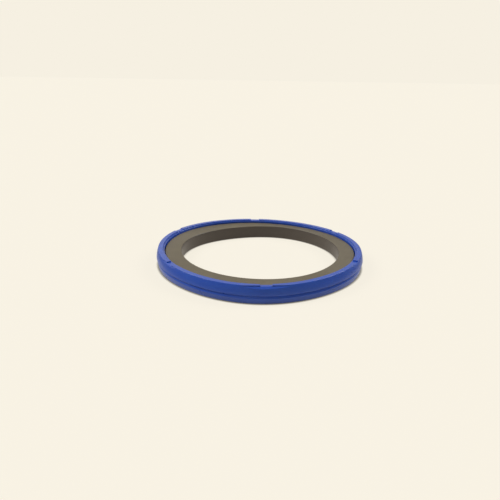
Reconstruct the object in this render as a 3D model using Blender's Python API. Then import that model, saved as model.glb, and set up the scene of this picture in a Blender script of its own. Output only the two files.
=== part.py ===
# Hydraulic piston seal: a polyurethane seal ring around a rubber energiser ring.
# The seal lies flat, with its axis on Z and its lower face at Z = 0.
# The notched end face is up, and one notch points to -Y.

import math

import bmesh
import bpy
from mathutils import Matrix, Vector

MM = 0.001

# Seal ring: the outside, which wipes the cylinder wall
LIP_DIAMETER = 100.4 * MM        # over the two lips, 0.4 mm more than a 100 mm cylinder
TOP_TAPER = 0.7 * MM             # how far the bowed flank draws in from the upper lip to the notched face
BASE_TAPER = 1.0 * MM            # and the straight one from the lower lip to the lower face
SEAL_HEIGHT = 8.0 * MM
TOP_EDGE_RADIUS = 0.15 * MM
BASE_EDGE_RADIUS = 0.4 * MM
OIL_GROOVE_HEIGHT = 3.2 * MM     # centre of the groove between the lips, above the lower face
OIL_GROOVE_WIDTH = 1.2 * MM
OIL_GROOVE_DEPTH = 0.4 * MM

# Seal ring: the end faces and the inside
LAND_WIDTH = 2.2 * MM            # flat ring of the notched end face
STEP_WIDTH = 0.8 * MM            # ledge inside the land
STEP_DEPTH = 0.7 * MM
INNER_CHAMFER = 0.3 * MM         # lower inner edge

# Relief notches in the upper end face
NOTCH_COUNT = 6
NOTCH_WIDTH = 4.9 * MM
NOTCH_DEPTH = 0.5 * MM
NOTCH_RUN_IN = 0.3 * MM          # how far the cut runs over the ledge inside the land
RELIEF_DEPTH = 0.85 * MM         # how far the relief at each notch reaches in from the land's outer edge
RELIEF_SLOPE = 30                # degrees that the relief's floor falls from there to the wall

# Energiser ring: rectangular section, seated in the seal ring
ENERGISER_GAP = 0.3 * MM         # free gap to the seal ring's inner wall
ENERGISER_WIDTH = 7.5 * MM
ENERGISER_HEIGHT = 6.5 * MM
ENERGISER_EDGE_RADIUS = 0.3 * MM

# Facets
RING_STEPS = 144                 # around each ring
ARC_STEPS = 4                    # on a rounded edge
GROOVE_STEPS = 6                 # across the oil groove
FLANK_STEPS = 4                  # up the bowed flank
CUTTER_MARGIN = 2.0 * MM         # how far the cutters stand clear of the solid

# Radii that follow from these
LIP_RADIUS = LIP_DIAMETER / 2
FACE_RADIUS = LIP_RADIUS - TOP_TAPER
BASE_RADIUS = LIP_RADIUS - BASE_TAPER
LAND_INNER_RADIUS = FACE_RADIUS - LAND_WIDTH
INNER_RADIUS = LAND_INNER_RADIUS - STEP_WIDTH
ENERGISER_OUTER_RADIUS = INNER_RADIUS - ENERGISER_GAP
ENERGISER_BORE_RADIUS = ENERGISER_OUTER_RADIUS - ENERGISER_WIDTH


def clear_scene():
    for item in list(bpy.data.objects):
        bpy.data.objects.remove(item, do_unlink=True)


def make_material(name, colour, roughness):
    material = bpy.data.materials.new(name)
    material.use_nodes = True
    surface = material.node_tree.nodes["Principled BSDF"]
    surface.inputs["Base Color"].default_value = (*colour, 1.0)
    surface.inputs["Roughness"].default_value = roughness
    surface.inputs["Metallic"].default_value = 0.0
    return material


def arc(centre, radius_r, radius_z, start, end, steps):
    """Points (r, z) on a round or oval arc, from one angle to another in radians."""
    points = []
    for i in range(steps + 1):
        angle = start + (end - start) * i / steps
        r = centre[0] + radius_r * math.cos(angle)
        z = centre[1] + radius_z * math.sin(angle)
        points.append((r, z))
    return points


def rounded_corner(before, corner, after, radius):
    """The arc that touches both sides of a corner of the section."""
    corner = Vector(corner)
    to_before = (Vector(before) - corner).normalized()
    to_after = (Vector(after) - corner).normalized()
    half_angle = to_before.angle(to_after) / 2
    reach = radius / math.tan(half_angle)
    centre = corner + (to_before + to_after).normalized() * radius / math.sin(half_angle)
    first = corner + to_before * reach - centre
    last = corner + to_after * reach - centre
    start = math.atan2(first.y, first.x)
    turn = math.remainder(math.atan2(last.y, last.x) - start, math.tau)
    return arc(centre, radius, radius, start, start + turn, ARC_STEPS)


def rounded_section(corners):
    """Closed outline of (r, z) points from corners given as (r, z, rounding)."""
    points = []
    for i, (r, z, rounding) in enumerate(corners):
        if rounding:
            before = corners[i - 1][:2]
            after = corners[(i + 1) % len(corners)][:2]
            points += rounded_corner(before, (r, z), after, rounding)
        else:
            points.append((r, z))
    return points


def turned_ring(name, profile, material):
    """Spins a closed profile of (r, z) points about Z into one solid ring."""
    mesh_builder = bmesh.new()
    loop = [mesh_builder.verts.new((r, 0.0, z)) for r, z in profile]
    edges = [mesh_builder.edges.new((a, b)) for a, b in zip(loop, loop[1:] + loop[:1])]
    bmesh.ops.spin(
        mesh_builder,
        geom=loop + edges,
        axis=(0.0, 0.0, 1.0),
        cent=(0.0, 0.0, 0.0),
        angle=2 * math.pi,
        steps=RING_STEPS,
        use_merge=True,
    )
    bmesh.ops.recalc_face_normals(mesh_builder, faces=mesh_builder.faces)
    return add_object(name, mesh_builder, material)


def add_object(name, mesh_builder, material=None):
    mesh = bpy.data.meshes.new(name)
    mesh_builder.to_mesh(mesh)
    mesh_builder.free()
    mesh.shade_smooth()
    mesh.set_sharp_from_angle(angle=math.radians(25))
    if material:
        mesh.materials.append(material)
    item = bpy.data.objects.new(name, mesh)
    bpy.context.collection.objects.link(item)
    return item


def bowed_flank(low_z):
    """Points between the upper lip and the notched face, upright at the lip and leaning in above it."""
    points = []
    for i in range(1, FLANK_STEPS):
        rise = i / FLANK_STEPS
        points.append((LIP_RADIUS - TOP_TAPER * rise**2, low_z + (SEAL_HEIGHT - low_z) * rise))
    return points


def seal_ring_profile():
    """Section of the seal ring, from its lower inner edge outward and up."""
    oil_groove = arc(
        (LIP_RADIUS, OIL_GROOVE_HEIGHT),
        OIL_GROOVE_DEPTH,
        OIL_GROOVE_WIDTH / 2,
        math.radians(270),
        math.radians(90),
        GROOVE_STEPS,
    )
    upper_lip_z = OIL_GROOVE_HEIGHT + OIL_GROOVE_WIDTH / 2
    ledge_height = SEAL_HEIGHT - STEP_DEPTH
    return rounded_section([
        (INNER_RADIUS + INNER_CHAMFER, 0.0, 0),
        (BASE_RADIUS, 0.0, BASE_EDGE_RADIUS),
        *[(r, z, 0) for r, z in oil_groove + bowed_flank(upper_lip_z)],
        (FACE_RADIUS, SEAL_HEIGHT, TOP_EDGE_RADIUS),
        (LAND_INNER_RADIUS, SEAL_HEIGHT, 0),
        (LAND_INNER_RADIUS, ledge_height, 0),
        (INNER_RADIUS, ledge_height, 0),
        (INNER_RADIUS, INNER_CHAMFER, 0),
    ])


def energiser_profile():
    """Rectangular section with rounded edges."""
    return rounded_section([
        (ENERGISER_BORE_RADIUS, 0.0, ENERGISER_EDGE_RADIUS),
        (ENERGISER_OUTER_RADIUS, 0.0, ENERGISER_EDGE_RADIUS),
        (ENERGISER_OUTER_RADIUS, ENERGISER_HEIGHT, ENERGISER_EDGE_RADIUS),
        (ENERGISER_BORE_RADIUS, ENERGISER_HEIGHT, ENERGISER_EDGE_RADIUS),
    ])


def notch_floor_faces(mesh_builder):
    """Floor of one notch: a flat across the land, then a wider relief that falls to the wall."""
    fold_y = FACE_RADIUS - RELIEF_DEPTH
    inner_y = LAND_INNER_RADIUS - NOTCH_RUN_IN
    outer_y = LIP_RADIUS + CUTTER_MARGIN
    floor_z = SEAL_HEIGHT - NOTCH_DEPTH
    outer_z = floor_z - (outer_y - fold_y) * math.tan(math.radians(RELIEF_SLOPE))
    half_notch = NOTCH_WIDTH / 2
    half_relief = math.sqrt(LIP_RADIUS**2 - fold_y**2) + CUTTER_MARGIN
    near, fold, far = [
        [mesh_builder.verts.new((x, y, z)) for x in across]
        for y, z, across in (
            (inner_y, floor_z, (-half_notch, half_notch)),
            (fold_y, floor_z, (-half_relief, -half_notch, half_notch, half_relief)),
            (outer_y, outer_z, (-half_relief, half_relief)),
        )
    ]
    flat = mesh_builder.faces.new((*near, fold[2], fold[1]))
    relief = mesh_builder.faces.new((*fold, *reversed(far)))
    return [flat, relief]


def make_notch_cutter():
    """One tool for all the notches, each raised from its folded floor."""
    mesh_builder = bmesh.new()
    for i in range(NOTCH_COUNT):
        floor = notch_floor_faces(mesh_builder)
        floor_points = list({point for face in floor for point in face.verts})
        raised = bmesh.ops.extrude_face_region(mesh_builder, geom=floor)["geom"]
        top_points = [element for element in raised if isinstance(element, bmesh.types.BMVert)]
        for point in top_points:
            point.co.z = SEAL_HEIGHT + CUTTER_MARGIN
        turn = Matrix.Rotation(math.pi + i * math.tau / NOTCH_COUNT, 4, "Z")
        bmesh.ops.transform(mesh_builder, matrix=turn, verts=floor_points + top_points)
    bmesh.ops.recalc_face_normals(mesh_builder, faces=mesh_builder.faces)
    cutter = add_object("notch_cutter", mesh_builder)
    cutter.hide_render = True
    cutter.display_type = "WIRE"
    return cutter


def make_seal_ring():
    blue = make_material("blue_polyurethane", (0.045, 0.085, 0.42), 0.38)
    ring = turned_ring("seal_ring", seal_ring_profile(), blue)
    cut = ring.modifiers.new("relief_notches", "BOOLEAN")
    cut.operation = "DIFFERENCE"
    cut.solver = "EXACT"
    cut.object = make_notch_cutter()
    return ring


def make_energiser_ring():
    rubber = make_material("grey_nitrile_rubber", (0.11, 0.095, 0.08), 0.7)
    return turned_ring("energiser_ring", energiser_profile(), rubber)


def main():
    clear_scene()
    seat = bpy.data.objects.new("piston_seal", None)
    bpy.context.collection.objects.link(seat)
    for ring in (make_seal_ring(), make_energiser_ring()):
        ring.parent = seat
        ring.location = Vector((0.0, 0.0, 0.0))


main()
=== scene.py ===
# Piston seal: the surfaces of its blue seal ring and its dark rubber energiser ring.
import math

import bmesh
import bpy
from mathutils import Matrix, Vector


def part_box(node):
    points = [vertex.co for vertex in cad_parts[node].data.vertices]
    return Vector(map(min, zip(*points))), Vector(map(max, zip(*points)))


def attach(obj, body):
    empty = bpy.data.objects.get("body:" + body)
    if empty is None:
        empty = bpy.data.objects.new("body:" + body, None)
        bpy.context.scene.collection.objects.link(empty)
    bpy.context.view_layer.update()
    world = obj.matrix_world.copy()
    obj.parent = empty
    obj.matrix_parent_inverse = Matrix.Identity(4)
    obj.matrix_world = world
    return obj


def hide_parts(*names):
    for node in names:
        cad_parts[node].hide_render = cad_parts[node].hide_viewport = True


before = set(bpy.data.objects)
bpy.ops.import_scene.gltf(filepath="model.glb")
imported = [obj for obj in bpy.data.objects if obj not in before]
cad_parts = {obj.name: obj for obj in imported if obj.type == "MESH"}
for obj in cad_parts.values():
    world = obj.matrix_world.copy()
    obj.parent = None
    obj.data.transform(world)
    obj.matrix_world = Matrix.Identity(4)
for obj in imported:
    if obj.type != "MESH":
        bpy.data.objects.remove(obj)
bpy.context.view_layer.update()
mm = 0.001
weld = 0.002 * mm    # points of a turned ring that lie closer together than this become one

sealLow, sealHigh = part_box("seal_ring")
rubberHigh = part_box("energiser_ring")[1]
print("frame loaded:", ", ".join(sorted(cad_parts)))


def hexColour(code):    # an sRGB hex value as the linear colour that Blender's sockets hold
    channels = [int(code[i:i + 2], 16) / 255 for i in (1, 3, 5)]
    return [c / 12.92 if c <= 0.04045 else ((c + 0.055) / 1.055) ** 2.4 for c in channels] + [1.0]


def addNode(tree, kind, inputs=None, **settings):    # inputs hold plain values or the sockets to link from
    node = tree.nodes.new(kind)
    for name, value in settings.items():
        setattr(node, name, value)
    for name, value in (inputs or {}).items():
        if isinstance(value, bpy.types.NodeSocket):
            tree.links.new(value, node.inputs[name])
        else:
            node.inputs[name].default_value = value
    return node


def newMaterial(name):
    material = bpy.data.materials.new(name)
    material.use_nodes = True
    material.node_tree.nodes.clear()
    return material, material.node_tree


def addPiece(name, mesh, material, node):    # a finished mesh becomes the look of a CAD node
    data = bpy.data.meshes.new(name)
    mesh.to_mesh(data)
    mesh.free()
    data.materials.append(material)
    data.shade_smooth()
    piece = bpy.data.objects.new(name, data)
    bpy.context.collection.objects.link(piece)
    normals = piece.modifiers.new("flatFacesStayFlat", "WEIGHTED_NORMAL")
    normals.keep_sharp = True
    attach(piece, "root")
    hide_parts(node)


def turnSection(mesh, corners, ringSteps, edgeSteps):    # corners are (radius, height, rounding) in mm
    points = [mesh.verts.new((radius * mm, 0, height * mm)) for radius, height, rounding in corners]
    mesh.faces.new(points)
    for point, (radius, height, rounding) in zip(points, corners):
        if rounding:
            bmesh.ops.bevel(mesh, geom=[point], offset=rounding * mm, offset_type="OFFSET", affect="VERTICES",
                            segments=edgeSteps, profile=0.5, material=-1, clamp_overlap=False)
    bmesh.ops.delete(mesh, geom=mesh.faces[:], context="FACES_ONLY")
    bmesh.ops.spin(mesh, geom=mesh.verts[:] + mesh.edges[:], axis=(0, 0, 1), cent=(0, 0, 0),
                   angle=math.tau, steps=ringSteps, use_merge=True)
    bmesh.ops.remove_doubles(mesh, verts=mesh.verts[:], dist=weld)
    bmesh.ops.recalc_face_normals(mesh, faces=mesh.faces[:])


# Camera
cameraPlace = {
    "back": 231.3,       # mm in front of the seal's axis
    "up": 77.8,          # mm above the notched end face
    "turn": -3.6,        # degrees round the seal, from the notch that points to -Y
    "pitch": 19.14,      # degrees down
    "yaw": -1.16,
    "roll": 0.92,
    "lens": 35.58,       # mm, as is the sensor
    "sensor": 36.0,
    "nearest": 1,        # mm in front of the lens, from where it sees
}


def addCamera(place):
    yaw, pitch, roll = (math.radians(place[key]) for key in ("yaw", "pitch", "roll"))
    camera = bpy.data.objects.new("camera", bpy.data.cameras.new("camera"))
    bpy.context.collection.objects.link(camera)
    camera.data.lens = place["lens"]
    camera.data.sensor_width = place["sensor"]
    camera.data.clip_start = place["nearest"] * mm
    aim = Matrix.Rotation(-yaw, 4, "Z") @ Matrix.Rotation(math.pi / 2 - pitch, 4, "X")
    aim = aim @ Matrix.Rotation(roll, 4, "Z")
    stand = Matrix.Translation((0, -place["back"] * mm, sealHigh.z + place["up"] * mm))
    camera.matrix_world = Matrix.Rotation(math.radians(place["turn"]), 4, "Z") @ stand @ aim
    bpy.context.scene.camera = camera


addCamera(cameraPlace)

# Floor, surroundings and lamps
studio = {
    "floor": "#F6F0E2",
    "paper": "#EDE7D9",       # its shaded share, and the light that it throws back
    "paperRoughness": 0.9,
    "floorGlow": 0.88,        # share of the floor's look that the camera and gloss see unshaded
    "glowStrength": 1.05,
    # Gloss sees a painted pool of light close to the seal, which the seal shows as a painted reflection.
    "glossNear": 0.8,         # how bright gloss sees the floor close to the seal
    "glossFar": 0.2,          # and away from it
    "glossReach": (58, 70),   # mm from the axis, where it falls off
    "contact": 1.3,           # mm, how near the seal the glow dims, in a painted contact shadow
    "contactDepth": 2.1,      # how steeply it dims there
    "contactInBore": 0.7,     # and inside the bore
    "boreReach": (40, 45),    # mm from the axis, between the two
    "contactSamples": 16,
    "floorSize": 20,          # m from its middle to each side
    "floorShift": (7, 3, 0),  # m, so that the line between its two triangles passes far from the seal
    "floorDrop": 0.02,        # mm under the seal
    "worldLight": 0.1,        # what the surroundings give to matt surfaces
    "glossDark": 0.3,         # what gloss sees of them on the camera's side
    "glossBright": 0.92,      # and on the side of the large window
    "windowSide": (-0.45, 0.85, 0.25),
    "windowSpread": 0.4,      # cosine of the angle from its middle, where it has faded
    "lamps": {                # strength, degrees across the soft light, direction it comes from
        "overhead": (0.45, 60, (-0.2, -0.6, 1.0)),
        "leftSide": (1.65, 30, (-1.0, 0.1, 1.0)),
        "rightSide": (1.5, 30, (1.0, 0.4, 0.9)),
    },
}


# Matt paper, rolled smooth. The camera and gloss see it mostly as an even glow. Close to the seal the camera
# sees it dim in a painted contact shadow, and gloss sees it brighter, a painted pool of light.
def backdropPaper(light):
    material, tree = newMaterial("paper_backdrop")
    paper = addNode(tree, "ShaderNodeBsdfPrincipled", {
        "Base Color": hexColour(light["paper"]), "Roughness": light["paperRoughness"],
        "Specular IOR Level": 0.0})
    path = addNode(tree, "ShaderNodeLightPath")
    place = addNode(tree, "ShaderNodeTexCoord").outputs["Object"]
    away = addNode(tree, "ShaderNodeVectorMath", {0: place}, operation="LENGTH").outputs["Value"]
    # Painted contact shadow: the glow that the camera sees dims where the seal hides the paper close by.
    contact = addNode(tree, "ShaderNodeAmbientOcclusion", {"Distance": light["contact"] * mm},
                      samples=light["contactSamples"])
    depth = addNode(tree, "ShaderNodeMapRange", {
        "Value": away, "From Min": light["boreReach"][0] * mm, "From Max": light["boreReach"][1] * mm,
        "To Min": light["contactInBore"], "To Max": light["contactDepth"]})
    dimmed = addNode(tree, "ShaderNodeMath", {
        0: contact.outputs["AO"], 1: depth.outputs[0]}, operation="POWER")
    inView = addNode(tree, "ShaderNodeMath", {
        0: dimmed.outputs[0], 1: light["glowStrength"]}, operation="MULTIPLY")
    # Seen only by gloss, a painted pool of light near the seal, which the seal shows as a painted reflection
    inGloss = addNode(tree, "ShaderNodeMapRange", {
        "Value": away, "From Min": light["glossReach"][0] * mm, "From Max": light["glossReach"][1] * mm,
        "To Min": light["glossNear"], "To Max": light["glossFar"]})
    strength = addNode(tree, "ShaderNodeMix", {
        0: path.outputs["Is Glossy Ray"], 2: inView.outputs[0], 3: inGloss.outputs[0]})
    glow = addNode(tree, "ShaderNodeEmission", {
        "Color": hexColour(light["floor"]), "Strength": strength.outputs[0]})
    seen = addNode(tree, "ShaderNodeMath", {
        0: path.outputs["Is Camera Ray"], 1: path.outputs["Is Glossy Ray"]}, operation="MAXIMUM")
    share = addNode(tree, "ShaderNodeMath", {0: seen.outputs[0], 1: light["floorGlow"]}, operation="MULTIPLY")
    mixed = addNode(tree, "ShaderNodeMixShader", {
        0: share.outputs[0], 1: paper.outputs[0], 2: glow.outputs[0]})
    addNode(tree, "ShaderNodeOutputMaterial", {"Surface": mixed.outputs[0]})
    return material


def addFloor(light):
    mesh = bmesh.new()
    bmesh.ops.create_grid(mesh, x_segments=1, y_segments=1, size=light["floorSize"])
    bmesh.ops.translate(mesh, verts=mesh.verts[:], vec=light["floorShift"])
    data = bpy.data.meshes.new("floor")
    mesh.to_mesh(data)
    mesh.free()
    data.materials.append(backdropPaper(light))
    floor = bpy.data.objects.new("floor", data)
    floor.location.z = sealLow.z - light["floorDrop"] * mm
    bpy.context.collection.objects.link(floor)


def addSurroundings(light):    # the camera sees the floor's colour, and gloss sees a window on one side
    world = bpy.data.worlds.new("studio")
    bpy.context.scene.world = world
    world.use_nodes = True
    tree = world.node_tree
    tree.nodes.clear()
    path = addNode(tree, "ShaderNodeLightPath")
    direction = addNode(tree, "ShaderNodeTexCoord").outputs["Generated"]
    toWindow = addNode(tree, "ShaderNodeVectorMath", {
        0: direction, 1: Vector(light["windowSide"]).normalized()}, operation="DOT_PRODUCT")
    inGloss = addNode(tree, "ShaderNodeMapRange", {
        "Value": toWindow.outputs["Value"], "From Min": light["windowSpread"], "From Max": 1.0,
        "To Min": light["glossDark"], "To Max": light["glossBright"]})
    unseen = addNode(tree, "ShaderNodeMix", {
        0: path.outputs["Is Glossy Ray"], 2: light["worldLight"], 3: inGloss.outputs[0]})
    strength = addNode(tree, "ShaderNodeMix", {
        0: path.outputs["Is Camera Ray"], 2: unseen.outputs[0], 3: 1.0})
    glow = addNode(tree, "ShaderNodeBackground", {
        "Color": hexColour(light["floor"]), "Strength": strength.outputs[0]})
    addNode(tree, "ShaderNodeOutputWorld", {"Surface": glow.outputs[0]})


def addLamps(light):
    for name, (energy, spread, source) in light["lamps"].items():
        lamp = bpy.data.objects.new(name, bpy.data.lights.new(name, "SUN"))
        lamp.data.energy = energy
        lamp.data.angle = math.radians(spread)
        lamp.rotation_euler = Vector(source).to_track_quat("Z", "Y").to_euler()
        bpy.context.collection.objects.link(lamp)


addFloor(studio)
addSurroundings(studio)
addLamps(studio)
print("camera, floor and lights stand")

# How far the soft rings lie out of round. Each wave is given by its number of lobes round the ring, and its
# cosine and sine parts are millimetres outward.
outOfRound = {
    "start": 3.4,            # degrees from the notch that points to -Y
    "seal": {1: (0.03, -0.39), 2: (0.0, 0.4), 3: (0.77, -0.33),
             4: (0.18, 0.03), 5: (0.07, 0.04), 6: (0.08, -0.03)},
    "bore": {1: (0.12, 0.51), 2: (0.15, -0.22), 3: (0.37, 0.41), 4: (0.06, -0.17), 5: (-0.06, 0.1)},
    "foot": {1: (0.0, 0.1), 3: (-0.3, 0.1)},
    "footHeight": 2.6,       # mm, from the lower face up to the lower lip
    "lip": {0: (0.1, 0.0), 1: (0.05, 0.0), 2: (-0.1, 0.0), 3: (-0.05, 0.0)},    # it springs out at the sides
    "lipHeight": 3.8,        # mm, about where the upper lip's edge lies
    "lipRoot": 0.7,          # mm from there down to the groove's floor
    "lipShare": 0.999,       # share of the way across the energiser, from where points follow the lip
}


def bendOutOfRound(mesh, bend):
    boreRadius = rubberHigh.x - energiserRing["width"] * mm
    aboveLip = sealHigh.z / mm - bend["lipHeight"]
    for point in mesh.verts:
        angle = math.atan2(point.co.x, -point.co.y) + math.radians(bend["start"])
        radius = math.hypot(point.co.x, point.co.y)
        share = min(max((radius - boreRadius) / (rubberHigh.x - boreRadius), 0), 1)
        low = share * max(1 - point.co.z / (bend["footHeight"] * mm), 0)
        rise = point.co.z / mm - bend["lipHeight"]
        fade = rise / aboveLip if rise > 0 else -rise / bend["lipRoot"]
        free = max(1 - fade, 0) if share > bend["lipShare"] else 0
        shift = 0
        for name, part in (("seal", share), ("bore", 1 - share), ("foot", low), ("lip", free)):
            for lobes, (cosine, sine) in bend[name].items():
                shift += part * mm * (cosine * math.cos(lobes * angle) + sine * math.sin(lobes * angle))
        point.co.xy *= (radius + shift) / radius


# Seal ring
sealRing = {
    "topTaper": 0.7,         # mm, how far the wall draws in from the upper lip to the notched face
    "baseTaper": 0.8,        # and from the lips to the lower face
    "topEdge": 0.15,         # mm, as are all the roundings
    "baseEdge": 0.25,
    "smallEdge": 0.1,        # at the step's foot and the inner chamfer
    "flankSteps": 8,
    "grooveHeight": 3.2,     # its centre, above the lower face
    "grooveWidth": 1.4,
    "grooveDepth": 0.65,
    "grooveFloorEdge": 0.15,
    "undercut": 0.3,         # how much higher the upper lip's edge lies than the groove's floor
    "upperLipEdge": 0.12,
    "lowerLipEdge": 0.15,
    "lowerLipBack": 0.1,     # how far the lower lip stands back from the upper one
    "landWidth": 2.2,
    "landInnerEdge": 0.1,
    "stepWidth": 0.8,
    "stepDepth": 0.7,
    "stepLean": 0.25,        # how far the step's wall leans in on its way down
    "innerChamfer": 0.3,
    "notchWidth": 4.9,
    "notchRunIn": 0.3,       # how far the cut runs in over the ledge
    "notches": (             # degrees round the ring, depth, how far its relief reaches in
        (0, 0.5, 0.8), (60.8, 0.5, 0.3), (120, 0.35, 0.2),
        (180, 0.35, 0.15), (237.8, 0.35, 0.2), (301.2, 0.5, 0.3),
    ),
    "reliefSlope": 29,       # degrees
    "cutterReach": 3,        # mm, how far the cutters reach out past the edge of the notched face
    "cutterMargin": 2,       # and how far above that face and past the ends of each relief
    "notchEdge": 0.1,
    "notchEdgeSteps": 2,
    "softenFrom": 26,        # degrees between two faces, from where their edge is softened
    "cutWeld": 0.004,        # mm, points that become one after the cut
    "softWeld": 0.0005,      # and after the softening
    "ringSteps": 360,
    "edgeSteps": 5,
    "tints": ("#2750B8", "#305CC2"),
    "cloudSize": 9,          # mm across the drift between the tints
    "markSize": 0.8,         # mm, of which a tool mark takes about half
    "markDepth": 0.02,
    "grainSize": 0.5,
    "grainDepth": 0.03,
    "roughness": (0.25, 0.33),
}


# Cast polyurethane, deep blue, with its wall and land turned on a lathe. The resin is slightly clouded and
# lets a little light into its skin. To the eye it is a satin blue with a pale sheen at grazing angles.
def polyurethane(look):
    material, tree = newMaterial("turned_blue_polyurethane")
    place = addNode(tree, "ShaderNodeTexCoord").outputs["Object"]
    cloud = addNode(tree, "ShaderNodeTexNoise", {
        "Vector": place, "Scale": 1 / (look["cloudSize"] * mm), "Detail": 3.0})
    darkTint, paleTint = (hexColour(code) for code in look["tints"])
    tint = addNode(tree, "ShaderNodeMix", {
        0: cloud.outputs["Fac"], 6: darkTint, 7: paleTint}, data_type="RGBA")
    # The tool leaves a mark each 0.1 mm. They are drawn coarser here, about each 0.4 mm, so that a picture
    # shows them. The noise is looked up by radius and height, so that they run round the ring.
    flat = addNode(tree, "ShaderNodeVectorMath", {0: place, 1: (1, 1, 0)}, operation="MULTIPLY")
    radius = addNode(tree, "ShaderNodeVectorMath", {0: flat.outputs[0]}, operation="LENGTH")
    height = addNode(tree, "ShaderNodeSeparateXYZ", {0: place})
    section = addNode(tree, "ShaderNodeCombineXYZ", {0: radius.outputs["Value"], 1: height.outputs[2]})
    marks = addNode(tree, "ShaderNodeTexNoise", {
        "Vector": section.outputs[0], "Scale": 1 / (look["markSize"] * mm), "Detail": 2.0})
    turned = addNode(tree, "ShaderNodeBump", {
        "Height": marks.outputs["Fac"], "Strength": 0.15, "Distance": look["markDepth"] * mm})
    grain = addNode(tree, "ShaderNodeTexNoise", {
        "Vector": place, "Scale": 1 / (look["grainSize"] * mm), "Detail": 4.0})
    bump = addNode(tree, "ShaderNodeBump", {
        "Height": grain.outputs["Fac"], "Strength": 0.1, "Distance": look["grainDepth"] * mm,
        "Normal": turned.outputs[0]})
    smoothest, roughest = look["roughness"]
    sheen = addNode(tree, "ShaderNodeMapRange", {
        "Value": cloud.outputs["Fac"], "To Min": smoothest, "To Max": roughest})
    skin = addNode(tree, "ShaderNodeBsdfPrincipled", {
        "Base Color": tint.outputs[2], "Roughness": sheen.outputs[0], "IOR": 1.5, "Normal": bump.outputs[0],
        "Subsurface Weight": 0.15, "Subsurface Radius": (0.3, 0.5, 1.0), "Subsurface Scale": 0.5 * mm})
    addNode(tree, "ShaderNodeOutputMaterial", {"Surface": skin.outputs[0]})
    return material


def notchCutter(size):    # each notch is a flat floor over the land and a wider relief that falls to the wall
    lip = sealHigh.x / mm
    top = sealHigh.z / mm
    faceRadius = lip - size["topTaper"]
    innerY = faceRadius - size["landWidth"] - size["notchRunIn"]
    outerY = faceRadius + size["cutterReach"]
    half = size["notchWidth"] / 2
    slope = math.tan(math.radians(size["reliefSlope"]))
    mesh = bmesh.new()
    for turn, depth, relief in size["notches"]:
        floorZ = top - depth
        foldY = faceRadius - relief
        outerZ = floorZ - (outerY - foldY) * slope
        wide = math.sqrt(lip ** 2 - foldY ** 2) + size["cutterMargin"]
        near = [mesh.verts.new((x * mm, innerY * mm, floorZ * mm)) for x in (-half, half)]
        fold = [mesh.verts.new((x * mm, foldY * mm, floorZ * mm)) for x in (-wide, -half, half, wide)]
        far = [mesh.verts.new((x * mm, outerY * mm, outerZ * mm)) for x in (-wide, wide)]
        floor = [mesh.faces.new((*near, fold[2], fold[1])), mesh.faces.new((*fold, *reversed(far)))]
        raised = bmesh.ops.extrude_face_region(mesh, geom=floor)["geom"]
        lid = [element for element in raised if isinstance(element, bmesh.types.BMVert)]
        for point in lid:
            point.co.z = (top + size["cutterMargin"]) * mm
        bmesh.ops.rotate(mesh, verts=near + fold + far + lid, cent=(0, 0, 0),
                         matrix=Matrix.Rotation(math.pi + math.radians(turn), 3, "Z"))
    bmesh.ops.recalc_face_normals(mesh, faces=mesh.faces[:])
    return mesh


def cutMesh(mesh, cutter):    # what is left of a mesh after another is taken away from it
    items = []
    for part in (mesh, cutter):
        data = bpy.data.meshes.new("cutting")
        part.to_mesh(data)
        part.free()
        item = bpy.data.objects.new("cutting", data)
        bpy.context.collection.objects.link(item)
        items.append(item)
    cut = items[0].modifiers.new("cut", "BOOLEAN")
    cut.operation = "DIFFERENCE"
    cut.solver = "EXACT"
    cut.object = items[1]
    left = bmesh.new()
    left.from_object(items[0], bpy.context.evaluated_depsgraph_get())
    for item in items:
        bpy.data.meshes.remove(item.data)    # its object goes with it
    return left


def makeSealRing(size):
    lip = sealHigh.x / mm
    top = sealHigh.z / mm
    face = lip - size["topTaper"]
    landInner = face - size["landWidth"]
    inner = landInner - size["stepWidth"]
    ledge = top - size["stepDepth"]
    low = size["grooveHeight"] - size["grooveWidth"] / 2
    high = size["grooveHeight"] + size["grooveWidth"] / 2
    flank = []    # the wall bows out a little between the upper lip and the notched face
    for i in range(1, size["flankSteps"]):
        rise = i / size["flankSteps"]
        flank.append((lip - size["topTaper"] * rise ** 2, high + (top - high) * rise, 0))
    mesh = bmesh.new()
    turnSection(mesh, [
        (inner + size["innerChamfer"], 0, size["smallEdge"]),
        (lip - size["baseTaper"], 0, size["baseEdge"]),
        (lip - size["lowerLipBack"], low, size["lowerLipEdge"]),
        (lip - size["grooveDepth"], high - size["undercut"], size["grooveFloorEdge"]),
        (lip, high, size["upperLipEdge"]),
        *flank,
        (face, top, size["topEdge"]),
        (landInner, top, size["landInnerEdge"]),
        (landInner - size["stepLean"], ledge, size["smallEdge"]),
        (inner, ledge, size["landInnerEdge"]),
        (inner, size["innerChamfer"], size["smallEdge"]),
    ], size["ringSteps"], size["edgeSteps"])
    mesh = cutMesh(mesh, notchCutter(size))
    bmesh.ops.remove_doubles(mesh, verts=mesh.verts[:], dist=size["cutWeld"] * mm)
    softenFrom = math.radians(size["softenFrom"])
    cutEdges = [edge for edge in mesh.edges if edge.is_manifold and edge.calc_face_angle() > softenFrom]
    print("seal ring: edges to soften", len(cutEdges), "verts", len(mesh.verts))
    bmesh.ops.bevel(mesh, geom=cutEdges, offset=size["notchEdge"] * mm, offset_type="OFFSET", affect="EDGES",
                    segments=size["notchEdgeSteps"], profile=0.5, material=-1, clamp_overlap=True)
    bmesh.ops.remove_doubles(mesh, verts=mesh.verts[:], dist=size["softWeld"] * mm)
    bmesh.ops.recalc_face_normals(mesh, faces=mesh.faces[:])
    bendOutOfRound(mesh, outOfRound)
    addPiece("polyurethane_seal_ring", mesh, polyurethane(size), "seal_ring")


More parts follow.
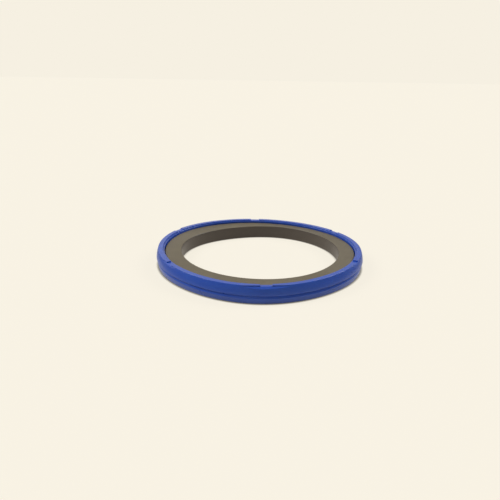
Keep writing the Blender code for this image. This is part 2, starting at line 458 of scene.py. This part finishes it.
# Energiser ring
energiserRing = {
    "width": 7.5,         # mm
    "edge": 0.3,          # rounding of its four edges
    "flashDrop": 0.55,    # the fine line that the mould's split leaves in the bore, below the upper face
    "flashWidth": 0.16,
    "flashDepth": 0.1,
    "ringSteps": 360,
    "edgeSteps": 6,
    "tints": ("#5C5344", "#6E6550"),
    "cloudSize": 7,       # mm across the drift between the tints
    "bloom": "#7C7466",
    "bloomSize": 24,      # mm across its patches
    "bloomRange": (0.4, 0.7),    # the noise's values between which the bloom comes up
    "bloomShare": 0.25,   # where it is thickest
    "grainSize": 0.3,     # mm
    "grainDepth": 0.04,
    "roughness": 0.5,
    "boreTint": "#574E46",
    "boreRoughness": 0.34,
}


# Moulded nitrile rubber, a warm dark grey. Its faces are ground and dull, with a thin dusty bloom that comes
# and goes. The bore keeps the smooth skin of the mould's core, and shines at grazing angles.
def nitrileRubber(look):
    material, tree = newMaterial("moulded_nitrile_rubber")
    place = addNode(tree, "ShaderNodeTexCoord").outputs["Object"]
    cloud = addNode(tree, "ShaderNodeTexNoise", {
        "Vector": place, "Scale": 1 / (look["cloudSize"] * mm), "Detail": 4.0})
    darkTint, paleTint = (hexColour(code) for code in look["tints"])
    tint = addNode(tree, "ShaderNodeMix", {
        0: cloud.outputs["Fac"], 6: darkTint, 7: paleTint}, data_type="RGBA")
    drift = addNode(tree, "ShaderNodeTexNoise", {
        "Vector": place, "Scale": 1 / (look["bloomSize"] * mm), "Detail": 2.0})
    bloomStart, bloomFull = look["bloomRange"]
    bloom = addNode(tree, "ShaderNodeMapRange", {
        "Value": drift.outputs["Fac"], "From Min": bloomStart, "From Max": bloomFull,
        "To Min": 0.0, "To Max": look["bloomShare"]})
    dusted = addNode(tree, "ShaderNodeMix", {
        0: bloom.outputs[0], 6: tint.outputs[2], 7: hexColour(look["bloom"])}, data_type="RGBA")
    grain = addNode(tree, "ShaderNodeTexNoise", {
        "Vector": place, "Scale": 1 / (look["grainSize"] * mm), "Detail": 4.0})
    bump = addNode(tree, "ShaderNodeBump", {
        "Height": grain.outputs["Fac"], "Strength": 0.4, "Distance": look["grainDepth"] * mm})
    wall = addNode(tree, "ShaderNodeAttribute", attribute_name="boreWall")
    colour = addNode(tree, "ShaderNodeMix", {
        0: wall.outputs["Fac"], 6: dusted.outputs[2], 7: hexColour(look["boreTint"])}, data_type="RGBA")
    gloss = addNode(tree, "ShaderNodeMapRange", {
        "Value": wall.outputs["Fac"], "To Min": look["roughness"], "To Max": look["boreRoughness"]})
    skin = addNode(tree, "ShaderNodeBsdfPrincipled", {
        "Base Color": colour.outputs[2], "Roughness": gloss.outputs[0], "IOR": 1.5,
        "Normal": bump.outputs[0]})
    addNode(tree, "ShaderNodeOutputMaterial", {"Surface": skin.outputs[0]})
    return material


def makeEnergiser(size):
    outer = rubberHigh.x / mm
    bore = outer - size["width"]
    top = rubberHigh.z / mm
    mesh = bmesh.new()
    turnSection(mesh, [
        (bore, 0, size["edge"]),
        (outer, 0, size["edge"]),
        (outer, top, size["edge"]),
        (bore, top, size["edge"]),
        (bore, top - size["flashDrop"] + size["flashWidth"] / 2, 0),
        (bore + size["flashDepth"], top - size["flashDrop"], 0),
        (bore, top - size["flashDrop"] - size["flashWidth"] / 2, 0),
    ], size["ringSteps"], size["edgeSteps"])
    wall = mesh.verts.layers.float.new("boreWall")    # 1 on the bore's wall, for the rubber's look
    for point in mesh.verts:
        point[wall] = float(point.co.xy.length < (bore + size["edge"] / 2) * mm)
    bendOutOfRound(mesh, outOfRound)
    addPiece("rubber_energiser_ring", mesh, nitrileRubber(size), "energiser_ring")


makeSealRing(sealRing)
print("seal ring made")

makeEnergiser(energiserRing)
print("energiser ring made")

bpy.context.scene.view_settings.view_transform = "Standard"
